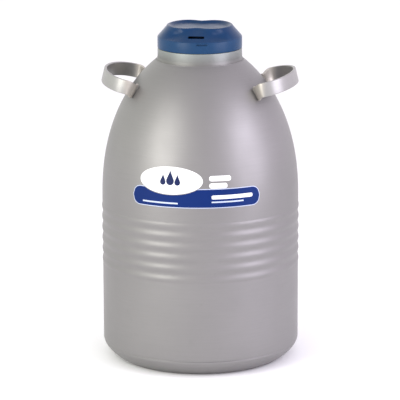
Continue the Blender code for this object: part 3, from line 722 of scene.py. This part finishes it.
def build_neck():
    low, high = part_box("neck_tube")
    wall = [(NECK_RADIUS, low.z), (high.x, low.z), (high.x, high.z), (NECK_RADIUS, high.z)]
    bore = turned(eased(wall, 0.0004, 3, True), NECK_ROUND)
    piece("neck_bore", bore, "neck_laminate", "flask", ["neck_tube"])
    low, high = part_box("upper_neck_ring")
    ring = [(NECK_RING_INNER, low.z), (high.x, low.z), (high.x, high.z), (NECK_RING_INNER, high.z)]
    shape = turned(eased(ring, 0.0005, 4, True), NECK_ROUND)
    piece("neck_ring", shape, "bare_aluminium", "flask", ["upper_neck_ring"])


def build_port_cover():
    low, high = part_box("port_cover")
    radius = (high.x - low.x) / 2
    centre = ((high.x + low.x) / 2, (high.y + low.y) / 2)
    inside = radius - PORT_COVER_WALL
    roof = high.z - PORT_COVER_WALL
    profile = [(0.0, high.z), (radius, high.z), (radius, low.z)]
    profile += [(inside, low.z), (inside, roof), (0.0, roof)]
    shape = turned(eased(profile, 0.0009), SMALL_ROUND, centre)
    piece("port_cap", shape, "white_plastic", "flask", ["port_cover"])


# ---------------------------------------------------------------- cap

def angle_from_grip(azimuth):
    turn = (azimuth + 90.0 - CAP_TURN) % 180.0
    return min(turn, 180.0 - turn)


def cap_rim_radius(azimuth):
    return CAP_RIM_RADIUS - GRIP_DEPTH * math.exp(-((angle_from_grip(azimuth) / GRIP_SPREAD) ** 2))


def cap_flank_radius(azimuth, share):
    """Radius of the sloping flank; share is 0 at the skirt's top edge and 1 at the rim."""
    scoop = math.exp(-(((angle_from_grip(azimuth) - SCOOP_ANGLE) / SCOOP_SPREAD) ** 2))
    hollow = 1 - (1 - share) ** SCOOP_POWER
    inward = share + (hollow - share) * scoop
    return CAP_RADIUS + (cap_rim_radius(azimuth) - CAP_RADIUS) * inward


def cap_profile(azimuth):
    """The cap's section at this azimuth, from the middle of its top round to the middle of its roof."""
    rim = cap_rim_radius(azimuth)
    rim_low = CAP_TOP_Z - CAP_FLANK_TOP
    points = [(0.0, CAP_FLOOR_Z)]
    points += [(rim - inwards, CAP_TOP_Z - down) for inwards, down in CAP_RIM]
    flank = []
    for share in steps(1.0, 0.0, 12):
        z = CAP_SKIRT_TOP_Z + share * (rim_low - CAP_SKIRT_TOP_Z)
        flank.append((cap_flank_radius(azimuth, share), z))
    points += flank
    points += [(CAP_RADIUS, CAP_BOTTOM_Z), (CAP_RADIUS - CAP_WALL, CAP_BOTTOM_Z)]
    points += [(CAP_RADIUS - CAP_WALL, CAP_SKIRT_TOP_Z - CAP_WALL)]
    for radius, z in flank[-2:0:-2]:
        points.append((radius - CAP_FLANK_INSET[0], z - CAP_FLANK_INSET[1]))
    points += [(rim - CAP_ROOF_INSET, CAP_FLOOR_Z - CAP_WALL), (0.0, CAP_FLOOR_Z - CAP_WALL)]
    return eased(points, CAP_EASE, 4)


def build_cap():
    columns = []
    for i in range(CAP_ROUND):
        azimuth = 360.0 * i / CAP_ROUND - 90.0 + CAP_TURN
        columns.append([polar(azimuth, p[0], p[1]) for p in cap_profile(azimuth)])
    cap = piece("cap_shell", bridged(columns, closed_columns=False), "blue_plastic", "cap", ["cap_cover"])
    front = CAP_TURN - 90.0
    lock_place = polar(front, LOCK_SLOT_REACH, LOCK_SLOT_Z)
    pull_place = polar(PULL_TURN - 90.0, CAP_RADIUS, PULL_SLOT_Z)
    lock = cutter("lock_cut", slot_shape(LOCK_SLOT), lock_place, CAP_TURN)
    pull = cutter("pull_cut", slot_shape(PULL_SLOT), pull_place, PULL_TURN)
    cut(cap, [lock, pull])


def build_thumb_lip():
    """A low arched lip on the skirt, over the small slot."""
    sections = []
    flattening = 0.96
    end_share = 0.35
    for t in steps(-1.0, 1.0, 33):
        turn = PULL_TURN - 90.0 + math.degrees(LIP_HALF_WIDTH * t / CAP_RADIUS)
        z = PULL_SLOT_Z - LIP_DROP + LIP_RISE * math.sqrt(max(0.0, 1 - t * t * flattening))
        size = LIP_SIZE * (end_share if abs(t) > 0.99 else 1.0)
        sections.append([polar(turn, CAP_RADIUS - LIP_SINK + out, z + up) for out, up in circle(size, 8)])
    piece("thumb_lip", bridged(sections, ring=False), "blue_plastic", "cap", (), 60.0)


def build_cap_insides():
    top = LINER_Z + LINER_THICKNESS
    liner = [(0.0, LINER_Z), (LINER_RADIUS, LINER_Z), (LINER_RADIUS, top), (0.0, top)]
    piece("cap_disc", turned(eased(liner, 0.0005, 3), LINER_ROUND), "white_plastic", "cap", ["cap_liner"])
    plug_top = LINER_Z - GAP
    plug = [(0.0, PLUG_BOTTOM_Z), (PLUG_RADIUS, PLUG_BOTTOM_Z)]
    for z in steps(PLUG_BOTTOM_Z + 0.02, plug_top - 0.006, PLUG_RINGS):
        plug.append((PLUG_RADIUS, z))
    plug += [(PLUG_RADIUS, plug_top), (0.0, plug_top)]
    piece("foam_plug", turned(eased(plug, PLUG_EASE, 5), NECK_ROUND), "white_foam", "cap", ["neck_plug"])


# ---------------------------------------------------------------- handles

def dome_frame(x, y):
    """The point of the dome above (x, y), its outward direction there, and the way uphill."""
    radius = math.hypot(x, y)
    out, up = dome_normal(radius)
    radial = Vector((x / radius, y / radius, 0.0))
    normal = radial * out + Vector((0, 0, up))
    uphill = Vector((0, 0, out)) - radial * up
    return Vector((x, y, dome_height(radius))), normal, uphill


def handle_plan():
    """Half of the strap's middle line in plan: (x, y, share), with share 1 at the foot's end."""
    foot_x, foot_y = HANDLE_FOOT
    half = []
    for share in steps(1.0, 0.05, FOOT_STATIONS):
        x = HANDLE_ARC_START + (foot_x - HANDLE_ARC_START) * share
        y = HANDLE_HALF_SPREAD + (foot_y - HANDLE_HALF_SPREAD) * share**2
        half.append((x, -y, share))
    reach = HANDLE_REACH - HANDLE_THICKNESS / 2 - HANDLE_ARC_START
    for turn in steps(-90, 0, ARC_STATIONS):
        angle = math.radians(turn)
        x = HANDLE_ARC_START + reach * math.cos(angle)
        half.append((x, HANDLE_HALF_SPREAD * math.sin(angle), 0.0))
    return half


def handle_stations():
    """From one foot to the other: the middle of the strap's section, and the way its width points."""
    tilt = math.radians(HANDLE_TILT)
    loop_up = Vector((-math.sin(tilt), 0.0, math.cos(tilt)))
    stations = []
    for x, y, share in handle_plan():
        loop_z = HANDLE_ARC_Z + (x - HANDLE_ARC_START) * math.tan(tilt)
        middle = Vector((x, y, loop_z))
        up = loop_up
        if share > 0:
            on_dome, normal, uphill = dome_frame(x, y)
            middle = middle.lerp(on_dome + normal * (HANDLE_THICKNESS / 2 + GAP), share**4)
            up = loop_up.lerp(uphill, FOOT_TWIST * share).normalized()
        stations.append((middle, up))
    mirrored = []
    for middle, up in stations[-2::-1]:
        mirrored.append((Vector((middle.x, -middle.y, middle.z)), Vector((up.x, -up.y, up.z))))
    return stations + mirrored


def strap_outline():
    """A flat bar's section as (along its width, along its thickness), with rounded edges."""
    w = HANDLE_WIDTH / 2
    t = HANDLE_THICKNESS / 2
    return eased([(w, t), (-w, t), (-w, -t), (w, -t)], STRAP_EASE, 5, True)


def lifted_clear(section):
    """The section moved outwards until no corner is closer to the dome than two gaps."""
    deepest = 0.0
    push = Vector((0, 0, 0))
    for point in section:
        if math.hypot(point.x, point.y) > CLEAR_OF_DOME * BODY_RADIUS:
            continue
        surface, normal, _ = dome_frame(point.x, point.y)
        short = 2 * GAP - (point - surface).dot(normal)
        if short > deepest:
            deepest = short
            push = normal * short
    return [point + push for point in section]


def weld_bead(name, path, radius, side):
    """A lumpy bead of weld along a line of points on the dome."""
    end_share = 0.45
    lump = 0.10
    lump_turn = 2.4
    sections = []
    around = 10
    for i, point in enumerate(path):
        before = path[max(i - 1, 0)]
        after = path[min(i + 1, len(path) - 1)]
        along = (after - before).normalized()
        across = along.cross(Vector((0, 0, 1))).normalized()
        up = across.cross(along)
        at_end = i in (0, len(path) - 1)
        size = radius * (end_share if at_end else 0.92 + lump * math.cos(i * lump_turn))
        ring = []
        for k in range(around):
            angle = 2 * math.pi * k / around
            spot = point + across * size * math.cos(angle) + up * size * math.sin(angle)
            ring.append((side * spot.x, side * spot.y, spot.z))
        sections.append(ring)
    piece(name, bridged(sections, ring=False), "weld_metal", "flask", (), 60.0)


def build_handles():
    stations = handle_stations()
    middles = [middle for middle, _ in stations]
    outline = strap_outline()
    solid = []
    for i, (middle, up) in enumerate(stations):
        before = middles[max(i - 1, 0)]
        after = middles[min(i + 1, len(middles) - 1)]
        across = up.cross(after - before).normalized()
        solid.append(lifted_clear([middle + up * p[0] + across * p[1] for p in outline]))
    for name, side, node in (("right", 1, "handle_right"), ("left", -1, "handle_left")):
        sections = [[(side * p.x, side * p.y, p.z) for p in section] for section in solid]
        piece(f"handle_{name}_strap", bridged(sections, ring=False), "handle_metal", "flask", [node], 50.0)
        for end, (middle, up) in (("front", stations[0]), ("back", stations[-1])):
            path = []
            for t in steps(-0.95, 0.95, 19):
                place = middle + up * (t * HANDLE_WIDTH / 2)
                x = place.x - BEAD_PAST_END[0]
                y = place.y - BEAD_PAST_END[1] * middle.y
                on_dome, normal, _ = dome_frame(x, y)
                path.append(on_dome + normal * BEAD_LIFT)
            weld_bead(f"weld_{name}_{end}", path, BEAD_SIZE, side)


# ---------------------------------------------------------------- labels

def label_point(azimuth, along, z, lift):
    """A point this far above the body; along is measured round the wall from the azimuth."""
    radius = dome_radius(z)
    out, up = dome_normal(min(radius, BODY_RADIUS - 0.0005))
    turn = azimuth - 90.0 + math.degrees(along / BODY_RADIUS)
    return polar(turn, radius + lift * out, z + lift * up)


def sheet(name, azimuth, columns, look, low_lift, high_lift, replaced=(), rows=9):
    """A thin sheet on the body; columns are (distance along, lower z, upper z)."""
    sections = []
    for along, low, high in columns:
        heights = steps(low, high, rows)
        outer = [label_point(azimuth, along, z, high_lift) for z in heights]
        inner = [label_point(azimuth, along, z, low_lift) for z in reversed(heights)]
        sections.append(outer + inner)
    piece(name, bridged(sections, ring=False), look, "flask", replaced, 40.0)


def oval_half_height(along):
    share = 1 - (along / OVAL_HALF_LENGTH) ** 2
    return OVAL_HALF_HEIGHT * math.sqrt(max(0.0, share))


def band_columns(grow=0.0):
    """The band, cut away under the oval; grow widens it on every other side."""
    columns = []
    offset = math.radians(BAND_AZIMUTH - OVAL_AZIMUTH) * BODY_RADIUS
    half_length = BAND_HALF_LENGTH + grow
    corner = BAND_CORNER + grow
    for along in steps(-half_length, half_length, BAND_COLUMNS):
        from_end = half_length - abs(along)
        trim = 0.0
        if from_end < corner:
            trim = corner - math.sqrt(max(0.0, corner**2 - (corner - from_end) ** 2))
        low = BAND_Z - BAND_HALF_HEIGHT - grow + trim
        under_oval = OVAL_Z - oval_half_height(along + offset) - OVAL_CLEARANCE
        high = min(BAND_Z + BAND_HALF_HEIGHT + grow, under_oval)
        columns.append((along, low, high - trim))
    return columns


def oval_columns():
    columns = []
    for turn in steps(-86, 86, OVAL_COLUMNS):
        along = OVAL_HALF_LENGTH * math.sin(math.radians(turn))
        half = oval_half_height(along)
        columns.append((along, OVAL_Z - half, OVAL_Z + half))
    return columns


def bar_columns(middle, z, half_length, half_height):
    """A bar with rounded ends."""
    columns = []
    for turn in steps(-80, 80, 25):
        share = math.sin(math.radians(turn))
        along = half_length * share
        past = max(0.0, abs(along) - (half_length - half_height))
        half = math.sqrt(max(1e-9, half_height**2 - past**2))
        columns.append((middle + along, z - half, z + half))
    return columns


def drop_columns(middle, z, radius, tip):
    """A plain drop: a round belly that narrows to a tip above it."""
    columns = []
    for turn in steps(-82, 82, 33):
        along = radius * math.sin(math.radians(turn))
        belly = math.sqrt(radius**2 - along**2)
        share = abs(along) / radius
        columns.append((middle + along, z - belly, z + belly + (tip - radius) * (1 - share) ** DROP_TAPER))
    return columns


def build_labels():
    high = LABEL_GAP + LABEL_THICKNESS
    sheet("band_edge", BAND_AZIMUTH, band_columns(BAND_EDGE), "label_edge", *BAND_EDGE_LIFT)
    sheet("band", BAND_AZIMUTH, band_columns(), "label_blue", BAND_LOW, high, ["label_band"])
    sheet("oval", OVAL_AZIMUTH, oval_columns(), "label_white", LABEL_GAP, high, ["label_oval"])
    # name, azimuth, distance along, height, half length, half height, look
    marks = [
        ("body_mark_1", BODY_MARK_AZIMUTH, 0.0990, 0.4025, 0.0225, 0.0052, "label_white"),
        ("body_mark_2", BODY_MARK_AZIMUTH, 0.0950, 0.3885, 0.0185, 0.0052, "label_white"),
        ("band_mark_1", BAND_AZIMUTH, -0.0720, 0.3535, 0.0380, 0.0015, "label_edge"),
        ("band_mark_2", BAND_AZIMUTH, 0.0740, 0.3660, 0.0430, 0.0038, "label_white"),
        ("band_mark_3", BAND_AZIMUTH, 0.0640, 0.3565, 0.0330, 0.0014, "label_edge"),
    ]
    for name, azimuth, middle, z, half_length, half_height, look in marks:
        lift = BODY_MARK_LIFT if name.startswith("body") else INK_LIFT
        columns = bar_columns(middle, z, half_length, half_height)
        sheet(name, azimuth, columns, look, *lift, rows=5)
    # name, distance along, radius of the belly, height of the tip above its middle
    drops = [
        ("oval_drop_1", -0.0150, 0.0058, 0.0150),
        ("oval_drop_2", 0.0, 0.0080, 0.0205),
        ("oval_drop_3", 0.0150, 0.0058, 0.0150),
    ]
    for name, middle, radius, tip in drops:
        columns = drop_columns(middle, DROP_Z + radius, radius, tip)
        sheet(name, OVAL_AZIMUTH, columns, "label_navy", *INK_LIFT)


# ---------------------------------------------------------------- carried-over nodes, floor, light, camera

def dress_nodes():
    """The model's own meshes get the same looks; the cap's foam is painted dark, as painted shade where it
    shows in the lock slot.
    """
    slots = {entry["node"]: entry["material_slot"] for entry in frame["record"]["subparts"]}
    for name, node in frame["nodes"].items():
        node.data.materials.clear()
        # the cap's foam gets the dark painted-shade look
        look = "slot_shade_foam" if name == "cap_insulation" else slots[name]
        node.data.materials.append(looks[look])


def build_floor():
    shape = bmesh.new()
    corners = []
    for x_sign, y_sign in ((-1, -1), (1, -1), (1, 1), (-1, 1)):
        corners.append(shape.verts.new((x_sign * FLOOR_HALF, y_sign * FLOOR_HALF, FLOOR_Z)))
    shape.faces.new(corners)
    mesh = bpy.data.meshes.new("floor")
    shape.to_mesh(mesh)
    shape.free()
    mesh.materials.append(floor_paint())
    item = bpy.data.objects.new("floor", mesh)
    bpy.context.scene.collection.objects.link(item)


def aimed(item, place, target):
    item.location = place
    item.rotation_euler = (Vector(target) - Vector(place)).to_track_quat("-Z", "Y").to_euler()


def soft_light(name, azimuth, distance, z, size, power, colour):
    """A soft box; azimuth is counted from -Y towards +X."""
    data = bpy.data.lights.new(name, "AREA")
    data.shape = "RECTANGLE"
    data.size, data.size_y = size
    data.energy = power
    data.color = colour
    item = bpy.data.objects.new(name, data)
    bpy.context.scene.collection.objects.link(item)
    aimed(item, polar(azimuth - 90.0, distance, z), (0.0, 0.0, LIGHT_TARGET_Z))
    item.visible_camera = False


def build_sky():
    """A bright even sky, dimmer overhead and faintly tinted from side to side."""
    world = bpy.data.worlds.new("studio")
    world.use_nodes = True
    bpy.context.scene.world = world
    nodes = world.node_tree.nodes
    links = world.node_tree.links
    background = nodes["Background"]
    background.inputs["Strength"].default_value = SKY_STRENGTH
    place = nodes.new("ShaderNodeTexCoord")
    split = nodes.new("ShaderNodeSeparateXYZ")
    upwards = nodes.new("ShaderNodeValToRGB")
    lowest, highest = upwards.color_ramp.elements
    lowest.position = 0.05
    lowest.color = (*SKY_HORIZON, 1.0)
    highest.position = 0.95
    highest.color = (*SKY_OVERHEAD, 1.0)
    links.new(place.outputs["Generated"], split.inputs["Vector"])
    links.new(split.outputs["Z"], upwards.inputs["Fac"])
    tint = nodes.new("ShaderNodeMix")
    tint.data_type = "RGBA"
    tint.blend_type = "MULTIPLY"
    tint.inputs["Factor"].default_value = 1.0
    across = nodes.new("ShaderNodeMapRange")
    across.inputs["From Min"].default_value = -1.0
    links.new(split.outputs["X"], across.inputs["Value"])
    sideways = nodes.new("ShaderNodeValToRGB")
    leftmost, rightmost = sideways.color_ramp.elements
    leftmost.color = (*SKY_FROM_LEFT, 1.0)
    rightmost.color = (*SKY_FROM_RIGHT, 1.0)
    links.new(across.outputs["Result"], sideways.inputs["Fac"])
    links.new(upwards.outputs["Color"], tint.inputs["A"])
    links.new(sideways.outputs["Color"], tint.inputs["B"])
    links.new(tint.outputs["Result"], background.inputs["Color"])


def build_camera():
    data = bpy.data.cameras.new("camera")
    camera = bpy.data.objects.new("camera", data)
    bpy.context.scene.collection.objects.link(camera)
    a = math.radians(CAMERA_AZIMUTH)
    e = math.radians(CAMERA_ELEVATION)
    back = Vector((math.sin(a) * math.cos(e), -math.cos(a) * math.cos(e), math.sin(e)))
    aim = Vector(CAMERA_AIM)
    aimed(camera, aim + back * CAMERA_DISTANCE, aim)
    data.sensor_width = CAMERA_SENSOR
    data.lens = CAMERA_LENS
    data.clip_end = CAMERA_CLIP_END
    data.shift_x, data.shift_y = CAMERA_SHIFT
    camera.rotation_euler.rotate_axis("Z", math.radians(CAMERA_ROLL))
    bpy.context.scene.camera = camera


def main():
    build_shell()
    build_bottom()
    build_collar()
    build_collar_weld()
    build_neck()
    build_port_cover()
    build_cap()
    build_thumb_lip()
    build_cap_insides()
    build_handles()
    build_labels()
    dress_nodes()
    build_floor()
    build_sky()
    for soft_box in SOFT_BOXES:
        soft_light(*soft_box)
    build_camera()
    bpy.context.scene.view_settings.view_transform = "Standard"


main()
